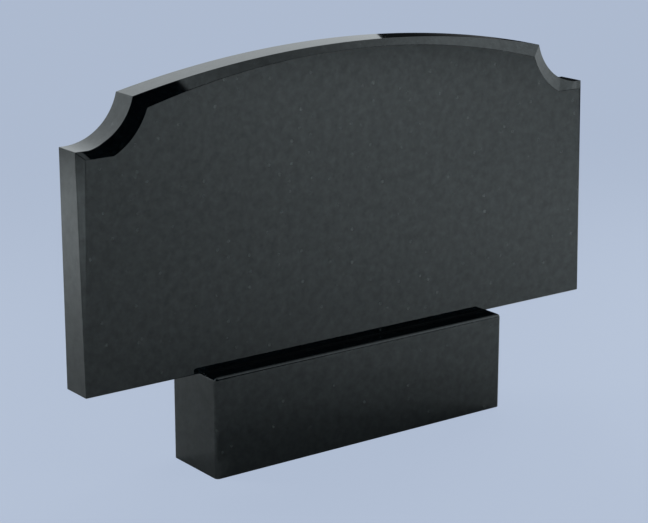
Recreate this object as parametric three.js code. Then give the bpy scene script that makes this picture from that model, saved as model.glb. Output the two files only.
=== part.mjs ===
// Headstone of polished dark stone: an arched slab with scooped corners, standing on a plain block.
// Millimetres. +X runs along the front from left to right, -Y faces the reader and +Z is up.
// The origin is the centre of the block's underside.

import * as THREE from "three";

// Block
const BASE_LENGTH = 700;
const BASE_DEPTH = 150;
const BASE_HEIGHT = 200;
// Radius of the rounded arrises along its top
const BASE_ARRIS = 7;
// Radius that the corners of its level top keep inside those arrises
const BASE_TOP_CORNER = 1;

// Slab
const SLAB_WIDTH = 1200;
const SLAB_THICKNESS = 70;
// Height of the shoulders above the slab's foot
const SHOULDER_HEIGHT = 450;
// Level part of a shoulder, from the slab's end to the start of the scoop
const SHOULDER_LEVEL = 9;
// The scoop leaves the shoulder level and turns up through this angle, in degrees
const SCOOP_RADIUS = 113.4;
const SCOOP_SWEEP = 76;
// Height of the middle of the arch above its corners
const ARCH_RISE = 52;

// Bevel along the slab's front arris: how far it is cut back into the thickness, and how wide it is
// on the face at the shoulders and ends, along the scoops and at the middle of the arch
const BEVEL_SETBACK = 12;
const BEVEL_SHOULDER = 13.5;
const BEVEL_SCOOP = 27.6;
const BEVEL_CROWN = 11.8;
// Angle at which the bevel's inner scoop line meets its arch line, in degrees
const BEVEL_SCOOP_SWEEP = 70;
// Width of the eased arris that is left of the bevel at the slab's foot
const FOOT_EASE = 1.5;

// The slab's bed on the block
const SEAT_GAP = 0.3;

// Steps along each rounded stretch
const CORNER_STEPS = 4;
const SHOULDER_STEPS = 6;
const SCOOP_STEPS = 14;
const ARCH_STEPS = 26;

const stone = {
  color: 0x262b2d,
  roughness: 0.22,
  metalness: 0,
  flatShading: true,
};

// A closed body through rings of equal length, each with its points in the same order.
// The first ring runs counterclockwise seen from outside. flatten gives a point's place in a cap's plane.
function loft(rings, flatten) {
  const count = rings[0].length;
  const faces = [];

  const addCap = (ring, outward) => {
    const start = ring * count;
    for (const [a, b, c] of THREE.ShapeUtils.triangulateShape(rings[ring].map(flatten), [])) {
      faces.push(start + a, start + (outward ? b : c), start + (outward ? c : b));
    }
  };

  addCap(0, true);
  for (let ring = 1; ring < rings.length; ring += 1) {
    const near = (ring - 1) * count;
    const far = ring * count;
    for (let i = 0; i < count; i += 1) {
      const j = (i + 1) % count;
      faces.push(near + i, far + i, far + j);
      faces.push(near + i, far + j, near + j);
    }
  }
  addCap(rings.length - 1, false);

  const geometry = new THREE.BufferGeometry();
  const places = rings.flat().flatMap((point) => point.toArray());
  geometry.setAttribute("position", new THREE.Float32BufferAttribute(places, 3));
  geometry.setIndex(faces);
  geometry.computeVertexNormals();
  return geometry;
}

// Plan of the block at a height, drawn in by inset on every side, counterclockwise seen from above
function baseRing(inset, z) {
  const radius = BASE_ARRIS + BASE_TOP_CORNER - inset;
  const reachX = BASE_LENGTH / 2 - inset - radius;
  const reachY = BASE_DEPTH / 2 - inset - radius;
  const ring = [];
  for (let corner = 0; corner < 4; corner += 1) {
    const centreX = corner === 0 || corner === 3 ? reachX : -reachX;
    const centreY = corner < 2 ? reachY : -reachY;
    for (let step = 0; step <= CORNER_STEPS; step += 1) {
      const angle = (corner + step / CORNER_STEPS) * (Math.PI / 2);
      const x = centreX + radius * Math.cos(angle);
      const y = centreY + radius * Math.sin(angle);
      ring.push(new THREE.Vector3(x, y, z));
    }
  }
  return ring;
}

function makeBase() {
  const rings = [];
  for (let step = 0; step <= CORNER_STEPS; step += 1) {
    const turn = (step / CORNER_STEPS) * (Math.PI / 2);
    const inset = BASE_ARRIS * (1 - Math.sin(turn));
    const drop = BASE_ARRIS * (1 - Math.cos(turn));
    rings.push(baseRing(inset, BASE_HEIGHT - drop));
  }
  rings.push(baseRing(0, 0));
  return loft(rings, (point) => new THREE.Vector2(point.x, point.y));
}

// Point on a scoop line: in is measured from the slab's end and up from its foot
function scoopPoint(radius, angle) {
  return {
    in: SHOULDER_LEVEL + radius * Math.sin(angle),
    up: SHOULDER_HEIGHT + SCOOP_RADIUS - radius * Math.cos(angle),
  };
}

// Point on the arc through an arch's corner and its crown on the middle line, at a share of the way up
function archPoint(corner, crownHeight, share) {
  const half = SLAB_WIDTH / 2 - corner.in;
  const rise = crownHeight - corner.up;
  const radius = (half * half + rise * rise) / (2 * rise);
  const angle = Math.asin(half / radius) * (1 - share);
  return {
    in: SLAB_WIDTH / 2 - radius * Math.sin(angle),
    up: crownHeight - radius * (1 - Math.cos(angle)),
  };
}

// Stations of half the slab, from its foot up the end and over to the crown. Each one holds a point
// of the true outline, the point of the bevel's inner line that faces it, and the set-back.
function halfStations() {
  const innerRadius = SCOOP_RADIUS + BEVEL_SCOOP;
  const mitreAngle = Math.acos((SCOOP_RADIUS + BEVEL_SHOULDER) / innerRadius);
  const outerSweep = THREE.MathUtils.degToRad(SCOOP_SWEEP);
  const innerSweep = THREE.MathUtils.degToRad(BEVEL_SCOOP_SWEEP);
  const shoulderLine = SHOULDER_HEIGHT - BEVEL_SHOULDER;
  const outerMitre = scoopPoint(SCOOP_RADIUS, mitreAngle);
  const innerMitre = scoopPoint(innerRadius, mitreAngle);
  const stations = [];
  const add = (outer, inner, setback = BEVEL_SETBACK) => stations.push({ outer, inner, setback });

  add({ in: 0, up: 0 }, { in: FOOT_EASE, up: FOOT_EASE }, FOOT_EASE);
  add({ in: 0, up: SHOULDER_HEIGHT }, { in: BEVEL_SHOULDER, up: shoulderLine });

  for (let step = 0; step <= SHOULDER_STEPS; step += 1) {
    const outer = scoopPoint(SCOOP_RADIUS, (mitreAngle * step) / SHOULDER_STEPS);
    const along = THREE.MathUtils.lerp(BEVEL_SHOULDER, innerMitre.in, outer.in / outerMitre.in);
    add(outer, { in: along, up: shoulderLine });
  }

  for (let step = 1; step <= SCOOP_STEPS; step += 1) {
    const share = step / SCOOP_STEPS;
    const outer = scoopPoint(SCOOP_RADIUS, THREE.MathUtils.lerp(mitreAngle, outerSweep, share));
    const inner = scoopPoint(innerRadius, THREE.MathUtils.lerp(mitreAngle, innerSweep, share));
    add(outer, inner);
  }

  const outerCorner = scoopPoint(SCOOP_RADIUS, outerSweep);
  const innerCorner = scoopPoint(innerRadius, innerSweep);
  const crown = outerCorner.up + ARCH_RISE;
  for (let step = 1; step <= ARCH_STEPS; step += 1) {
    const share = step / ARCH_STEPS;
    add(archPoint(outerCorner, crown, share), archPoint(innerCorner, crown - BEVEL_CROWN, share));
  }
  return stations;
}

// A ring of the slab, counterclockwise seen from the front. place gives a station's point and its y.
function slabRing(stations, place) {
  const right = stations.map((station) => {
    const { point, y } = place(station);
    return new THREE.Vector3(SLAB_WIDTH / 2 - point.in, y, point.up);
  });
  const left = right.slice(0, -1).map((point) => new THREE.Vector3(-point.x, point.y, point.z));
  return [...right, ...left.reverse()];
}

function makeStele() {
  const stations = halfStations();
  const front = -SLAB_THICKNESS / 2;
  const face = slabRing(stations, ({ inner }) => ({ point: inner, y: front }));
  const arris = slabRing(stations, ({ outer, setback }) => ({ point: outer, y: front + setback }));
  const back = slabRing(stations, ({ outer }) => ({ point: outer, y: SLAB_THICKNESS / 2 }));
  return loft([face, arris, back], (point) => new THREE.Vector2(point.x, point.z));
}

function makePiece(name, geometry, height) {
  const piece = new THREE.Mesh(geometry, new THREE.MeshStandardMaterial(stone));
  piece.name = name;
  piece.position.z = height;
  return piece;
}

const headstone = new THREE.Group();
headstone.name = "headstone";
headstone.add(makePiece("base", makeBase(), 0));
headstone.add(makePiece("stele", makeStele(), BASE_HEIGHT + SEAT_GAP));

export default headstone;
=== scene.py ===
"""A headstone of black gabbro: an arched, bevelled slab that stands on a plain block.

All lengths are metres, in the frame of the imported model. +X runs along the front from left to
right, -Y faces the reader and +Z is up. The origin is the centre of the block's underside.
"""

import logging
import math
from dataclasses import dataclass, replace
from enum import Enum
from typing import Any, Callable, Sequence

import bmesh
import bpy
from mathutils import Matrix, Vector


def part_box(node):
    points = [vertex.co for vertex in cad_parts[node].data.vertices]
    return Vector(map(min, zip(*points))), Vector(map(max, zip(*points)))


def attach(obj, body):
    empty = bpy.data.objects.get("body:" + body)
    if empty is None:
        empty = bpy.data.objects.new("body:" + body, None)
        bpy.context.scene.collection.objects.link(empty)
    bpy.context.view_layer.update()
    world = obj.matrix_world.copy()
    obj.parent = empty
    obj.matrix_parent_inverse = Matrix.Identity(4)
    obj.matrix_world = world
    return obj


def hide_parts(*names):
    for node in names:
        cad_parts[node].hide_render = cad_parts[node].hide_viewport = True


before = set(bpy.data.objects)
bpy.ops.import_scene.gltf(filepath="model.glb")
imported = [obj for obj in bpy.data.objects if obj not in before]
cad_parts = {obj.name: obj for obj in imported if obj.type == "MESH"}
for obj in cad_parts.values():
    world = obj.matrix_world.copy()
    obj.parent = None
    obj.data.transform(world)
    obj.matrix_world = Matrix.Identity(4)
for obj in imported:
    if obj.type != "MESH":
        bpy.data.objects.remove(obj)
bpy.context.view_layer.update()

LOG = logging.getLogger("headstone")

MM = 0.001
BODY = "root"

Ring = list[Vector]
Pair = tuple[float, float]
Tree = bpy.types.NodeTree
Socket = bpy.types.NodeSocket

# Places of a mix node's sockets, because its kinds share their names: the share of the second
# value, its two numbers or its two colours, and the result
MIX_SHARE = 0
NUMBER_A, NUMBER_B, NUMBER_OUT = 2, 3, 0
COLOUR_A, COLOUR_B, COLOUR_OUT = 6, 7, 2
# The whole range of a share, and the range that nearly all values of a noise texture lie in
WHOLE = (0.0, 1.0)
NOISE_RANGE = (0.3, 0.7)
# Spacing of the bands of a wave texture at a scale of one
WAVE_SPACING = math.pi / 10


class Side(Enum):
    """Faces of a piece that take a finish of their own, each with its material index."""

    SHOW = 0
    BACK = 1
    UNDER = 2


def linear(hex_colour: str) -> tuple[float, float, float, float]:
    """Turn an sRGB hex colour into linear RGBA.

    Args:
        hex_colour: Six hex digits, with or without a leading mark.

    Returns:
        Red, green, blue and an alpha of one, as linear values.
    """
    digits = hex_colour.lstrip("#")
    channels = []
    # The numbers are those of the sRGB curve
    for start in (0, 2, 4):
        value = int(digits[start:start + 2], 16) / 255
        channels.append(value / 12.92 if value <= 0.04045 else ((value + 0.055) / 1.055) ** 2.4)
    return (channels[0], channels[1], channels[2], 1.0)


def mix(low: float, high: float, share: float) -> float:
    """Return the value at a share of the way from low to high."""
    return low + (high - low) * share


def add_node(
    tree: Tree,
    kind: str,
    settings: dict[int | str, Any] | None = None,
    links: dict[int | str, Socket] | None = None,
) -> bpy.types.Node:
    """Add one node to a tree.

    Args:
        tree: The node tree that takes the node.
        kind: The node's Blender type.
        settings: Values by name, of an input socket where the node has one, or else of a property.
            A number as the name is an input's place.
        links: Output sockets by the name or place of the input that each one feeds.

    Returns:
        The new node.
    """
    node = tree.nodes.new(kind)
    for name, value in (settings or {}).items():
        if isinstance(name, int) or name in node.inputs:
            node.inputs[name].default_value = value
        else:
            setattr(node, name, value)
    for name, output in (links or {}).items():
        tree.links.new(output, node.inputs[name])
    return node


def carried(given: Pair, wanted: Pair) -> dict[str, Any]:
    """List the settings of a map range node that carries values from one range to another.

    Args:
        given: The values where the node's own range starts and ends.
        wanted: What they become.

    Returns:
        The settings by name.
    """
    return {
        "From Min": given[0],
        "From Max": given[1],
        "To Min": wanted[0],
        "To Max": wanted[1],
    }


@dataclass(frozen=True)
class Gabbro:
    """Black gabbro, a dense dark plutonic rock, with the finish that its maker gave one face.

    The matrix is near-black pyroxene. Laths of grey-green feldspar, one to three millimetres
    long, show in it as faint paler grains, with a scatter of brighter flecks. Nearly all the tone
    of a polished face is what it reflects.
    """

    name: str
    # Colours of the pyroxene, the ordinary feldspar and the bright flecks
    dark: str = "#0b1319"
    grain: str = "#1b2529"
    fleck: str = "#464f4e"
    # Cast of the reflections, and how strongly grains and flecks reflect, where half is plain
    # glass. The mottling's range is the whole spread about that.
    cast: str = "#f5feff"
    grain_shine: Pair = (0.475, 0.535)
    fleck_shine: Pair = (0.4, 0.64)
    mottle_shine: float = 0.13
    # Lengths of a feldspar grain and of a fleck, and the spacing between flecks. They are drawn
    # about twice as coarse as in the stone, because a pixel of the picture is two millimetres wide.
    grain_mm: float = 4.5
    fleck_mm: float = 10.0
    fleck_spacing_mm: float = 24.0
    # Sizes against a grain: the noise that bends the grains and how far it shifts them, the
    # mottling, and the relief
    warp_size: float = 2.2
    warp_shift: float = 0.7
    mottle_size: float = 4.0
    relief_size: float = 2.0
    # Random number of a cell from which it shows as a grain, and the part of a fleck's radius
    # that has its full colour
    grain_from: float = 0.35
    fleck_core: float = 0.2
    roughness: float = 0.04
    # Patches of better and worse polish: their size, and their roughness against the usual one
    patch_mm: float = 60.0
    patch_range: Pair = (0.85, 1.2)
    # Pyroxene is about 1.7, and ore grains lift it a little
    ior: float = 1.78
    relief_mm: float = 0.004
    # Pitch and depth of the marks of a wire or disc saw, none where the face is ground
    saw_pitch_mm: float = 0.0
    saw_depth_mm: float = 0.0

    def material(self) -> bpy.types.Material:
        """Build the material.

        Returns:
            A procedural material on the piece's own coordinates.
        """
        stone = bpy.data.materials.new(self.name)
        stone.use_nodes = True
        tree = stone.node_tree
        tree.nodes.clear()
        place = add_node(tree, "ShaderNodeTexCoord").outputs["Object"]
        colour, shine = self._grains(tree, place)
        bump = add_node(
            tree,
            "ShaderNodeBump",
            {"Strength": 1.0, "Distance": 1.0},
            {"Height": self._relief(tree, place)},
        )
        patches = add_node(
            tree,
            "ShaderNodeTexNoise",
            {"Scale": 1 / (self.patch_mm * MM), "Detail": 4.0, "Roughness": 0.6},
            {"Vector": place},
        )
        smoothest, roughest = self.patch_range
        polish = add_node(
            tree,
            "ShaderNodeMapRange",
            carried(NOISE_RANGE, (smoothest * self.roughness, roughest * self.roughness)),
            {"Value": patches.outputs["Fac"]},
        )
        shader = add_node(
            tree,
            "ShaderNodeBsdfPrincipled",
            {"IOR": self.ior, "Metallic": 0.0, "Specular Tint": linear(self.cast)},
            {
                "Base Color": colour,
                "Roughness": polish.outputs["Result"],
                "Specular IOR Level": shine,
                "Normal": bump.outputs["Normal"],
            },
        )
        add_node(tree, "ShaderNodeOutputMaterial", links={"Surface": shader.outputs["BSDF"]})
        return stone

    def _grains(self, tree: Tree, place: Socket) -> tuple[Socket, Socket]:
        """Lay feldspar grains and scattered flecks over the dark matrix.

        Args:
            tree: The material's node tree.
            place: Coordinates on the piece, in metres.

        Returns:
            The colour, and how strongly each place reflects.
        """
        warp = add_node(
            tree,
            "ShaderNodeTexNoise",
            {"Scale": 1 / (self.warp_size * self.grain_mm * MM), "Detail": 2.0},
            {"Vector": place},
        )
        shift = self.warp_shift * self.grain_mm * MM
        bent = add_node(
            tree,
            "ShaderNodeVectorMath",
            {"operation": "MULTIPLY_ADD", 1: (shift, shift, shift)},
            {0: warp.outputs["Color"], 2: place},
        ).outputs["Vector"]
        _, grain_number = self._scatter(tree, bent, self.grain_mm)
        grain_share = add_node(
            tree,
            "ShaderNodeMapRange",
            carried((self.grain_from, 1.0), WHOLE),
            {"Value": grain_number},
        ).outputs["Result"]
        ground = add_node(
            tree,
            "ShaderNodeMix",
            {"data_type": "RGBA", COLOUR_A: linear(self.dark), COLOUR_B: linear(self.grain)},
            {MIX_SHARE: grain_share},
        ).outputs[COLOUR_OUT]
        grain_shine = add_node(
            tree,
            "ShaderNodeMapRange",
            carried(WHOLE, self.grain_shine),
            {"Value": grain_share},
        ).outputs["Result"]
        mottle = add_node(
            tree,
            "ShaderNodeTexNoise",
            {
                "Scale": 1 / (self.mottle_size * self.grain_mm * MM),
                "Detail": 2.0,
                "Roughness": 0.6,
            },
            {"Vector": place},
        )
        mottle_shine = add_node(
            tree,
            "ShaderNodeMapRange",
            carried(NOISE_RANGE, (-self.mottle_shine / 2, self.mottle_shine / 2)),
            {"Value": mottle.outputs["Fac"]},
        ).outputs["Result"]
        ground_shine = add_node(
            tree,
            "ShaderNodeMath",
            {"operation": "ADD"},
            {0: grain_shine, 1: mottle_shine},
        ).outputs["Value"]

        fleck_distance, fleck_number = self._scatter(tree, bent, self.fleck_spacing_mm)
        radius = self.fleck_mm / 2 / self.fleck_spacing_mm
        fleck_share = add_node(
            tree,
            "ShaderNodeMapRange",
            carried((radius, self.fleck_core * radius), WHOLE),
            {"Value": fleck_distance},
        ).outputs["Result"]
        fleck_colour = add_node(
            tree,
            "ShaderNodeMix",
            {"data_type": "RGBA", COLOUR_A: linear(self.dark), COLOUR_B: linear(self.fleck)},
            {MIX_SHARE: fleck_number},
        ).outputs[COLOUR_OUT]
        fleck_shine = add_node(
            tree,
            "ShaderNodeMapRange",
            carried(WHOLE, self.fleck_shine),
            {"Value": fleck_number},
        ).outputs["Result"]

        colour = add_node(
            tree,
            "ShaderNodeMix",
            {"data_type": "RGBA"},
            {MIX_SHARE: fleck_share, COLOUR_A: ground, COLOUR_B: fleck_colour},
        ).outputs[COLOUR_OUT]
        shine = add_node(
            tree,
            "ShaderNodeMix",
            {"data_type": "FLOAT"},
            {MIX_SHARE: fleck_share, NUMBER_A: ground_shine, NUMBER_B: fleck_shine},
        ).outputs[NUMBER_OUT]
        return colour, shine

    @staticmethod
    def _scatter(tree: Tree, place: Socket, spacing_mm: float) -> tuple[Socket, Socket]:
        """Scatter cells through the stone.

        Args:
            tree: The material's node tree.
            place: Coordinates on the piece, in metres.
            spacing_mm: The usual distance from one cell's centre to the next.

        Returns:
            The distance to the nearest centre, as a share of the spacing, and the random number
            of the cell round it.
        """
        cells = add_node(
            tree,
            "ShaderNodeTexVoronoi",
            {"feature": "F1", "Scale": 1 / (spacing_mm * MM), "Randomness": 1.0},
            {"Vector": place},
        )
        number = add_node(
            tree,
            "ShaderNodeSeparateColor",
            links={"Color": cells.outputs["Color"]},
        )
        return cells.outputs["Distance"], number.outputs["Red"]

    def _relief(self, tree: Tree, place: Socket) -> Socket:
        """Give the face its grain relief and, on a sawn one, its saw marks.

        Args:
            tree: The material's node tree.
            place: Coordinates on the piece, in metres.

        Returns:
            The height, in metres.
        """
        pits = add_node(
            tree,
            "ShaderNodeTexNoise",
            {
                "Scale": 1 / (self.relief_size * self.grain_mm * MM),
                "Detail": 3.0,
                "Roughness": 0.55,
            },
            {"Vector": place},
        )
        height = add_node(
            tree,
            "ShaderNodeMath",
            {"operation": "MULTIPLY", 1: self.relief_mm * MM},
            {0: pits.outputs["Fac"]},
        ).outputs["Value"]
        if not self.saw_depth_mm:
            return height
        saw = add_node(
            tree,
            "ShaderNodeTexWave",
            {
                "bands_direction": "X",
                "Scale": WAVE_SPACING / (self.saw_pitch_mm * MM),
                "Distortion": 1.5,
                "Detail": 2.0,
            },
            {"Vector": place},
        )
        return add_node(
            tree,
            "ShaderNodeMath",
            {"operation": "MULTIPLY_ADD", 1: self.saw_depth_mm * MM},
            {0: saw.outputs["Fac"], 2: height},
        ).outputs["Value"]


# Mirror polish, as on the face, the ends and the top: it gives sharp reflections and a black ground
POLISHED = Gabbro(name="polished_gabbro")
# Fine grinding without the last polish, as on a back: a dull grey sheen
HONED = replace(
    POLISHED,
    name="honed_gabbro",
    dark="#15181a",
    grain="#262b2c",
    roughness=0.34,
    relief_mm=0.01,
)
# Straight from the saw, as on a foot: matt and pale grey with faint parallel marks
SAWN = replace(
    POLISHED,
    name="sawn_gabbro",
    dark="#2c3031",
    grain="#43494a",
    fleck="#6a7270",
    roughness=0.62,
    relief_mm=0.05,
    saw_pitch_mm=9.0,
    saw_depth_mm=0.15,
)


def loft(name: str, rings: Sequence[Ring]) -> bpy.types.Object:
    """Make a closed mesh through rings of equal length, with a flat face over each end ring.

    Args:
        name: The name of the new object.
        rings: Rings of points in the same order. The first one runs counterclockwise seen from
            outside.

    Returns:
        The new object, linked to the scene.
    """
    work = bmesh.new()
    rows = [[work.verts.new(point) for point in ring] for ring in rings]
    count = len(rows[0])
    work.faces.new(rows[0])
    work.faces.new(list(reversed(rows[-1])))
    for near, far in zip(rows, rows[1:]):
        for i in range(count):
            j = (i + 1) % count
            work.faces.new((near[i], far[i], far[j], near[j]))
    mesh = bpy.data.meshes.new(name)
    work.to_mesh(mesh)
    work.free()
    piece = bpy.data.objects.new(name, mesh)
    bpy.context.scene.collection.objects.link(piece)
    return piece


def ease_arrises(piece: bpy.types.Object, radius: float, steps: int, least_angle: float) -> None:
    """Round every arris of a piece and bake the rounding into its mesh.

    Args:
        piece: The piece.
        radius: The width that an arris gives up on each face.
        steps: Segments across an arris.
        least_angle: The angle between two faces, in degrees, from which their edge is an arris.
    """
    piece.data.shade_smooth()
    rounding = piece.modifiers.new("arrises", "BEVEL")
    rounding.width = radius
    rounding.segments = steps
    rounding.limit_method = "ANGLE"
    rounding.angle_limit = math.radians(least_angle)
    rounding.harden_normals = True
    rounding.use_clamp_overlap = False
    graph = bpy.context.evaluated_depsgraph_get()
    rounded = bpy.data.meshes.new_from_object(piece.evaluated_get(graph), depsgraph=graph)
    piece.modifiers.clear()
    old = piece.data
    piece.data = rounded
    bpy.data.meshes.remove(old)
    rounded.name = piece.name


def dress(piece: bpy.types.Object, node: str, finishes: dict[Side, bpy.types.Material]) -> None:
    """Give a piece its finishes face by face, and put it in place of its node.

    Args:
        piece: The piece.
        node: The node that it stands for.
        finishes: The material of each side.
    """
    for side in Side:
        piece.data.materials.append(finishes[side])
    # Least part of a face's normal along an axis at which the face counts as square to it
    squareness = 0.99
    for face in piece.data.polygons:
        if face.normal.z < -squareness:
            face.material_index = Side.UNDER.value
        elif face.normal.y > squareness:
            face.material_index = Side.BACK.value
        else:
            face.material_index = Side.SHOW.value
    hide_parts(node)
    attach(piece, BODY)
    LOG.info("%s: %d faces", piece.name, len(piece.data.polygons))


@dataclass(frozen=True)
class Station:
    """One place on the slab's outline: its point, the bevel's inner point and the bevel's depth.

    Points are measured in from the slab's end and up from its foot.
    """

    outer: Pair
    inner: Pair
    setback: float


@dataclass(frozen=True)
class Stele:
    """The arched slab, with scooped corners and a bevel along its front arris."""

    width: float
    thickness: float
    foot: float
    node: str = "stele"
    shoulder_height: float = 450 * MM
    shoulder_level: float = 9 * MM
    scoop_radius: float = 113.4 * MM
    scoop_sweep: float = math.radians(76)
    arch_rise: float = 52 * MM
    bevel_setback: float = 12 * MM
    bevel_shoulder: float = 13.5 * MM
    bevel_scoop: float = 27.6 * MM
    bevel_crown: float = 11.8 * MM
    bevel_scoop_sweep: float = math.radians(70)
    # How far in from the slab's end the bevel goes from its slope along the shoulder to the
    # gentler one of the scoop
    flattening: Pair = (11 * MM, 25 * MM)
    foot_ease: float = 1.5 * MM
    # Easing of the arrises, and the angle in degrees from which an edge is one
    arris_radius: float = 0.7 * MM
    arris_steps: int = 3
    arris_angle: float = 16
    shoulder_steps: int = 24
    scoop_steps: int = 40
    arch_steps: int = 90

    @classmethod
    def from_frame(cls) -> "Stele":
        """Take the slab's width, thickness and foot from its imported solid."""
        low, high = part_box(cls.node)
        return cls(width=high.x - low.x, thickness=high.y - low.y, foot=low.z)

    def scoop_point(self, radius: float, angle: float) -> Pair:
        """Find a point on a scoop line.

        Args:
            radius: The radius of the line about the scoop's centre.
            angle: The angle from straight down, towards the middle of the slab.

        Returns:
            The distances in from the slab's end and up from its foot.
        """
        inward = self.shoulder_level + radius * math.sin(angle)
        upward = self.shoulder_height + self.scoop_radius - radius * math.cos(angle)
        return inward, upward

    def arch_point(self, corner: Pair, crown: float, share: float) -> Pair:
        """Find a point on the arc from an arch's corner to its crown.

        Args:
            corner: The arch's corner.
            crown: The height of the arch on the middle line.
            share: How far along the arc the point lies, from 0 at the corner to 1 at the crown.

        Returns:
            The distances in from the slab's end and up from its foot.
        """
        half = self.width / 2 - corner[0]
        rise = crown - corner[1]
        radius = (half * half + rise * rise) / (2 * rise)
        angle = math.asin(half / radius) * (1 - share)
        return self.width / 2 - radius * math.sin(angle), crown - radius * (1 - math.cos(angle))

    def stations(self) -> list[Station]:
        """List the stations of half the slab.

        Returns:
            The stations, from the foot up the end and over to the crown.
        """
        inner_radius = self.scoop_radius + self.bevel_scoop
        mitre = math.acos((self.scoop_radius + self.bevel_shoulder) / inner_radius)
        line = self.shoulder_height - self.bevel_shoulder
        outer_mitre = self.scoop_point(self.scoop_radius, mitre)
        inner_mitre = self.scoop_point(inner_radius, mitre)
        setback = self.bevel_setback
        found = [
            Station((0.0, 0.0), (self.foot_ease, self.foot_ease), self.foot_ease),
            Station((0.0, self.shoulder_height), (self.bevel_shoulder, line), setback),
        ]
        steep = setback / self.bevel_shoulder
        gentle = setback / (outer_mitre[1] - line)
        for step in range(self.shoulder_steps + 1):
            outer = self.scoop_point(self.scoop_radius, mitre * step / self.shoulder_steps)
            along = mix(self.bevel_shoulder, inner_mitre[0], outer[0] / outer_mitre[0])
            start, end = self.flattening
            share = min(max((outer[0] - start) / (end - start), 0.0), 1.0)
            slope = mix(steep, gentle, share)
            found.append(Station(outer, (along, line), slope * (outer[1] - line)))
        for step in range(1, self.scoop_steps + 1):
            share = step / self.scoop_steps
            outer = self.scoop_point(self.scoop_radius, mix(mitre, self.scoop_sweep, share))
            inner = self.scoop_point(inner_radius, mix(mitre, self.bevel_scoop_sweep, share))
            found.append(Station(outer, inner, setback))
        outer_corner = found[-1].outer
        inner_corner = found[-1].inner
        crown = outer_corner[1] + self.arch_rise
        for step in range(1, self.arch_steps + 1):
            share = step / self.arch_steps
            outer = self.arch_point(outer_corner, crown, share)
            inner = self.arch_point(inner_corner, crown - self.bevel_crown, share)
            found.append(Station(outer, inner, setback))
        return found

    def ring(self, place: Callable[[Station], tuple[Pair, float]]) -> Ring:
        """Carry one line round the whole slab.

        Args:
            place: Gives a station's point and its place through the thickness.

        Returns:
            The points, counterclockwise seen from the front.
        """
        right = []
        for station in self.stations():
            (inward, upward), y = place(station)
            right.append(Vector((self.width / 2 - inward, y, self.foot + upward)))
        left = [Vector((-point.x, point.y, point.z)) for point in reversed(right[:-1])]
        return right + left

    def build(self) -> bpy.types.Object:
        """Build the slab with its arrises eased.

        Returns:
            The piece.
        """
        front = -self.thickness / 2
        face = self.ring(lambda station: (station.inner, front))
        arris = self.ring(lambda station: (station.outer, front + station.setback))
        back = self.ring(lambda station: (station.outer, -front))
        piece = loft("bevelled_slab", [face, arris, back])
        ease_arrises(piece, self.arris_radius, self.arris_steps, self.arris_angle)
        return piece


@dataclass(frozen=True)
class Base:
    """The block that the slab stands on, with rounded arrises round its top and up its corners."""

    length: float
    depth: float
    height: float
    node: str = "base"
    # Radius of the rounded arrises, and the radius that the corners of the level top keep
    arris: float = 7 * MM
    top_corner: float = 1 * MM
    steps: int = 12
    # Easing of the sharp edges at the foot, and the angle in degrees from which an edge is sharp
    foot_radius: float = 0.5 * MM
    foot_steps: int = 2
    foot_angle: float = 40

    @classmethod
    def from_frame(cls) -> "Base":
        """Take the block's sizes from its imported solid."""
        low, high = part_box(cls.node)
        return cls(length=high.x - low.x, depth=high.y - low.y, height=high.z - low.z)

    def ring(self, inset: float, z: float) -> Ring:
        """Draw the block's plan at one height.

        Args:
            inset: How far the plan is drawn in on every side.
            z: The height.

        Returns:
            The points, counterclockwise seen from above.
        """
        radius = self.arris + self.top_corner - inset
        reach_x = self.length / 2 - inset - radius
        reach_y = self.depth / 2 - inset - radius
        points = []
        for corner, (way_x, way_y) in enumerate(((1, 1), (-1, 1), (-1, -1), (1, -1))):
            for step in range(self.steps + 1):
                angle = (corner + step / self.steps) * math.pi / 2
                x = way_x * reach_x + radius * math.cos(angle)
                y = way_y * reach_y + radius * math.sin(angle)
                points.append(Vector((x, y, z)))
        return points

    def build(self) -> bpy.types.Object:
        """Build the block.

        Returns:
            The piece.
        """
        rings = []
        for step in range(self.steps + 1):
            turn = step / self.steps * math.pi / 2
            inset = self.arris * (1 - math.sin(turn))
            drop = self.arris * (1 - math.cos(turn))
            rings.append(self.ring(inset, self.height - drop))
        rings.append(self.ring(0.0, 0.0))
        piece = loft("rounded_block", rings)
        ease_arrises(piece, self.foot_radius, self.foot_steps, self.foot_angle)
        return piece


@dataclass(frozen=True)
class Lamp:
    """A square soft lamp that lights the floor and doesn't itself show in the stone."""

    name: str
    place: tuple[float, float, float]
    target: tuple[float, float, float]
    size: float
    watts: float
    spread: float = 80.0
    colour: str = "#ffffff"


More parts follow.
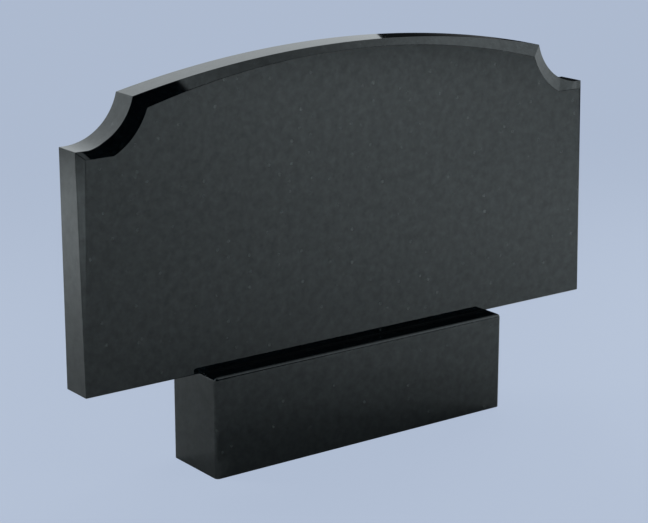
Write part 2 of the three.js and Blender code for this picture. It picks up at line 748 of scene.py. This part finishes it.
@dataclass(frozen=True)
class Studio:
    """A pale floor under a soft white dome that is dark in front, lamps over it, and the camera.

    The dome's angles are in degrees. Azimuths run from -Y towards +X. A pair of angles goes from
    the dimmer side of an edge to the brighter one, unless it has levels of its own.
    """

    floor_size: float = 14.5
    floor_colour: str = "#dde3e6"
    # The floor's own paleness, also seen past its edge, and how much of its tone in the camera is
    # that even paleness rather than the light on it
    far_colour: str = "#bac8df"
    evenness: float = 0.85
    # Camera: angles of the photograph's view, with its place worked out from its target
    azimuth: float = math.radians(-36.29)
    elevation: float = math.radians(15.31)
    distance: float = 3.8523
    target: tuple[float, float, float] = (-0.0714, -0.035, 0.3709)
    lens_mm: float = 111.39
    sensor_mm: float = 36.0
    # Dome: its brightness low down and overhead, and between which elevations it falls off
    side_light: float = 0.85
    top_light: float = 0.3
    fall_off: Pair = (32, 63)
    dome_colour: str = "#f4fbff"
    # Dark stretch in front: its left edge, its sharp right edge, and its right edge lower down
    dark_left: Pair = (295, 280)
    dark_right: Pair = (28.6, 29.4)
    dark_low_right: Pair = (44.5, 46.5)
    # Elevations at which that lower part and the whole stretch end
    low: Pair = (34.5, 39)
    high: Pair = (52, 66)
    # Paler bands within its right part, under and over what the block's ledge reflects, which
    # light the rounded arrises, and how much of the panel's light they give
    under_left: Pair = (26, 31)
    under_top: Pair = (14, 10)
    over_left: Pair = (37, 40)
    over_foot: Pair = (21, 24)
    band_light: float = 0.7
    # Panel on the right: where it is dimmest and brightest, and its brightness there
    panel: Pair = (30, 85)
    panel_light: Pair = (0.74, 1.08)
    # Dark gap behind, on the right: its near edge, its top, and a faint glow in it near the ground
    gap_start: Pair = (115, 105)
    gap_top: Pair = (25, 35)
    glow_heights: Pair = (4, -7)
    glow: Pair = (0.012, 0.13)
    # Backdrop: its sharp edge, where the panel's tone goes over into its own, and its brightness
    # at the edge, at its peak a little inside it and far round
    backdrop_edge: float = 141.65
    edge_softness: float = 0.04
    handover: Pair = (105, 141.25)
    backdrop_peak: Pair = (154, 156)
    backdrop_far: float = 172
    backdrop_light: tuple[float, float, float] = (0.94, 1.12, 0.98)
    lamps: tuple[Lamp, ...] = (
        Lamp("back_right_lamp", (2.2, 2.0, 2.4), (0.9, -1.0, 0.0), size=1.6, watts=5.6),
        Lamp("right_lamp", (3.0, 0.6, 1.8), (1.25, -1.25, 0.0), size=1.6, watts=15.4),
        Lamp(
            "back_left_lamp", (-2.7, 2.7, 2.3), (-1.6, 1.6, 0.0), size=1.4, watts=16.0, spread=62
        ),
        Lamp(
            "front_right_lamp", (3.2, -3.2, 2.6), (2.0, -2.8, 0.0), size=2.0, watts=27.7, spread=110
        ),
        Lamp(
            "front_left_lamp", (-3.7, -2.1, 2.2), (-2.5, -1.4, 0.0), size=1.4, watts=11.5, spread=64
        ),
        Lamp("overhead_lamp", (0.0, 0.0, 4.5), (0.0, 0.0, 0.0), size=3.5, watts=3.6, spread=170),
    )

    def build_floor(self) -> None:
        """Lay the floor."""
        half = self.floor_size / 2
        mesh = bpy.data.meshes.new("floor")
        corners = [(-half, -half, 0.0), (half, -half, 0.0), (half, half, 0.0), (-half, half, 0.0)]
        mesh.from_pydata(corners, [], [(0, 1, 2, 3)])
        floor = bpy.data.objects.new("floor", mesh)
        bpy.context.scene.collection.objects.link(floor)
        paint = bpy.data.materials.new("pale_floor")
        paint.use_nodes = True
        tree = paint.node_tree
        tree.nodes.clear()
        matt = add_node(
            tree,
            "ShaderNodeBsdfDiffuse",
            {"Color": linear(self.floor_colour)},
        )
        even = add_node(
            tree,
            "ShaderNodeEmission",
            {"Color": linear(self.far_colour), "Strength": 1.0},
        )
        seen = add_node(tree, "ShaderNodeLightPath").outputs["Is Camera Ray"]
        share = add_node(
            tree,
            "ShaderNodeMath",
            {"operation": "MULTIPLY", 1: self.evenness},
            {0: seen},
        )
        either = add_node(
            tree,
            "ShaderNodeMixShader",
            links={
                0: share.outputs["Value"],
                1: matt.outputs["BSDF"],
                2: even.outputs["Emission"],
            },
        )
        add_node(tree, "ShaderNodeOutputMaterial", links={"Surface": either.outputs["Shader"]})
        mesh.materials.append(paint)

    def build_dome(self) -> None:
        """Light the scene from all round, by the direction alone."""
        world = bpy.data.worlds.new("studio_dome")
        world.use_nodes = True
        tree = world.node_tree
        tree.nodes.clear()
        light = add_node(
            tree,
            "ShaderNodeBackground",
            {"Color": linear(self.dome_colour)},
            {"Strength": self._dome_strength(tree)},
        )
        far = add_node(
            tree,
            "ShaderNodeBackground",
            {"Color": linear(self.far_colour), "Strength": self.evenness},
        )
        seen = add_node(tree, "ShaderNodeLightPath").outputs["Is Camera Ray"]
        either = add_node(
            tree,
            "ShaderNodeMixShader",
            links={0: seen, 1: light.outputs["Background"], 2: far.outputs["Background"]},
        )
        add_node(tree, "ShaderNodeOutputWorld", links={"Surface": either.outputs["Shader"]})
        world.cycles_visibility.diffuse = False
        bpy.context.scene.world = world

    @staticmethod
    def _angles(tree: Tree) -> tuple[Socket, Socket]:
        """Work out the angles of each direction.

        Args:
            tree: The world's node tree.

        Returns:
            The azimuth, from nothing to a full turn, and the elevation, both in radians.
        """
        direction = add_node(tree, "ShaderNodeTexCoord").outputs["Generated"]
        parts = add_node(tree, "ShaderNodeSeparateXYZ", links={"Vector": direction})
        ahead = add_node(
            tree,
            "ShaderNodeMath",
            {"operation": "MULTIPLY", 1: -1.0},
            {0: parts.outputs["Y"]},
        )
        turn = add_node(
            tree,
            "ShaderNodeMath",
            {"operation": "ARCTAN2"},
            {0: parts.outputs["X"], 1: ahead.outputs["Value"]},
        )
        azimuth = add_node(
            tree,
            "ShaderNodeMath",
            {"operation": "WRAP", 1: math.tau, 2: 0.0},
            {0: turn.outputs["Value"]},
        )
        elevation = add_node(
            tree,
            "ShaderNodeMath",
            {"operation": "ARCSINE"},
            {0: parts.outputs["Z"]},
        )
        return azimuth.outputs["Value"], elevation.outputs["Value"]

    def _dome_strength(self, tree: Tree) -> Socket:
        """Work out the dome's brightness from its stretches.

        Args:
            tree: The world's node tree.

        Returns:
            The brightness in each direction.
        """
        azimuth, elevation = self._angles(tree)
        edge = self.backdrop_edge
        near, peak, far = self.backdrop_light
        band = (0.0, self.band_light)
        # Smooth passages of the light: the angle that each goes by, where it starts and ends, and
        # its levels there
        passages = {
            "left": (azimuth, self.dark_left, WHOLE),
            "right": (azimuth, self.dark_right, WHOLE),
            "low_right": (azimuth, self.dark_low_right, WHOLE),
            "low": (elevation, self.low, WHOLE),
            "high": (elevation, self.high, WHOLE),
            "under": (azimuth, self.under_left, band),
            "under_top": (elevation, self.under_top, WHOLE),
            "over": (azimuth, self.over_left, band),
            "over_foot": (elevation, self.over_foot, WHOLE),
            "glow": (elevation, self.glow_heights, self.glow),
            "above": (elevation, self.gap_top, WHOLE),
            "beside": (azimuth, self.gap_start, WHOLE),
            "backdrop": (azimuth, (edge - self.edge_softness, edge + self.edge_softness), WHOLE),
            "panel": (azimuth, self.panel, self.panel_light),
            "handover": (azimuth, self.handover, WHOLE),
            "towards_peak": (azimuth, (edge, self.backdrop_peak[0]), (near / peak, 1.0)),
            "past_peak": (azimuth, (self.backdrop_peak[1], self.backdrop_far), (peak, far)),
            "level": (elevation, self.fall_off, (self.side_light, self.top_light)),
        }
        # Steps that each make one value out of two earlier ones
        steps = (
            ("right", "MULTIPLY", "right", "low"),
            ("right", "MAXIMUM", "right", "low_right"),
            ("under", "MULTIPLY", "under", "under_top"),
            ("over", "MULTIPLY", "over", "over_foot"),
            ("bands", "MAXIMUM", "under", "over"),
            ("right", "MAXIMUM", "right", "bands"),
            ("front", "MINIMUM", "left", "right"),
            ("front", "MAXIMUM", "front", "high"),
            ("rear", "MAXIMUM", "glow", "above"),
            ("rear", "MAXIMUM", "rear", "beside"),
            ("rear", "MAXIMUM", "rear", "backdrop"),
            ("open", "MULTIPLY", "front", "rear"),
            ("shade", "MULTIPLY", "towards_peak", "past_peak"),
            ("change", "SUBTRACT", "shade", "panel"),
            ("change", "MULTIPLY", "change", "handover"),
            ("tone", "ADD", "panel", "change"),
            ("tone", "MULTIPLY", "tone", "level"),
            ("strength", "MULTIPLY", "open", "tone"),
        )
        values = {}
        for name, (angle, (start, end), levels) in passages.items():
            values[name] = add_node(
                tree,
                "ShaderNodeMapRange",
                {
                    "interpolation_type": "SMOOTHSTEP",
                    **carried((math.radians(start), math.radians(end)), levels),
                },
                {"Value": angle},
            ).outputs["Result"]
        for name, operation, one, other in steps:
            values[name] = add_node(
                tree,
                "ShaderNodeMath",
                {"operation": operation},
                {0: values[one], 1: values[other]},
            ).outputs["Value"]
        return values["strength"]

    def hang_lamps(self) -> None:
        """Hang the soft lamps that light the floor all round the headstone."""
        for lamp in self.lamps:
            light = bpy.data.lights.new(lamp.name, "AREA")
            light.shape = "SQUARE"
            light.size = lamp.size
            light.energy = lamp.watts
            light.spread = math.radians(lamp.spread)
            light.color = linear(lamp.colour)[:3]
            holder = bpy.data.objects.new(lamp.name, light)
            holder.location = lamp.place
            aim = Vector(lamp.target) - Vector(lamp.place)
            holder.rotation_euler = aim.to_track_quat("-Z", "Y").to_euler()
            holder.visible_camera = False
            holder.visible_glossy = False
            bpy.context.scene.collection.objects.link(holder)

    def place_camera(self) -> None:
        """Set the camera at the photograph's viewing angle."""
        back = Vector((
            math.sin(self.azimuth) * math.cos(self.elevation),
            -math.cos(self.azimuth) * math.cos(self.elevation),
            math.sin(self.elevation),
        ))
        lens = bpy.data.cameras.new("camera")
        lens.lens = self.lens_mm
        lens.sensor_width = self.sensor_mm
        lens.sensor_fit = "HORIZONTAL"
        camera = bpy.data.objects.new("camera", lens)
        camera.location = Vector(self.target) + self.distance * back
        camera.rotation_euler = back.to_track_quat("Z", "Y").to_euler()
        bpy.context.scene.collection.objects.link(camera)
        bpy.context.scene.camera = camera

    def build(self) -> None:
        """Set up the floor, the light, the camera and the way that tones are shown."""
        self.build_floor()
        self.build_dome()
        self.hang_lamps()
        self.place_camera()
        bpy.context.scene.view_settings.view_transform = "Standard"
        LOG.info("studio: floor, dome, %d lamps and camera", len(self.lamps))


def main() -> None:
    """Build the headstone and the studio, in order."""
    logging.basicConfig(level=logging.INFO, format="%(name)s %(message)s")
    Studio().build()
    finishes = {
        Side.SHOW: POLISHED.material(),
        Side.BACK: HONED.material(),
        Side.UNDER: SAWN.material(),
    }
    for part in (Base.from_frame(), Stele.from_frame()):
        dress(part.build(), part.node, finishes)


if __name__ == "__main__":
    main()
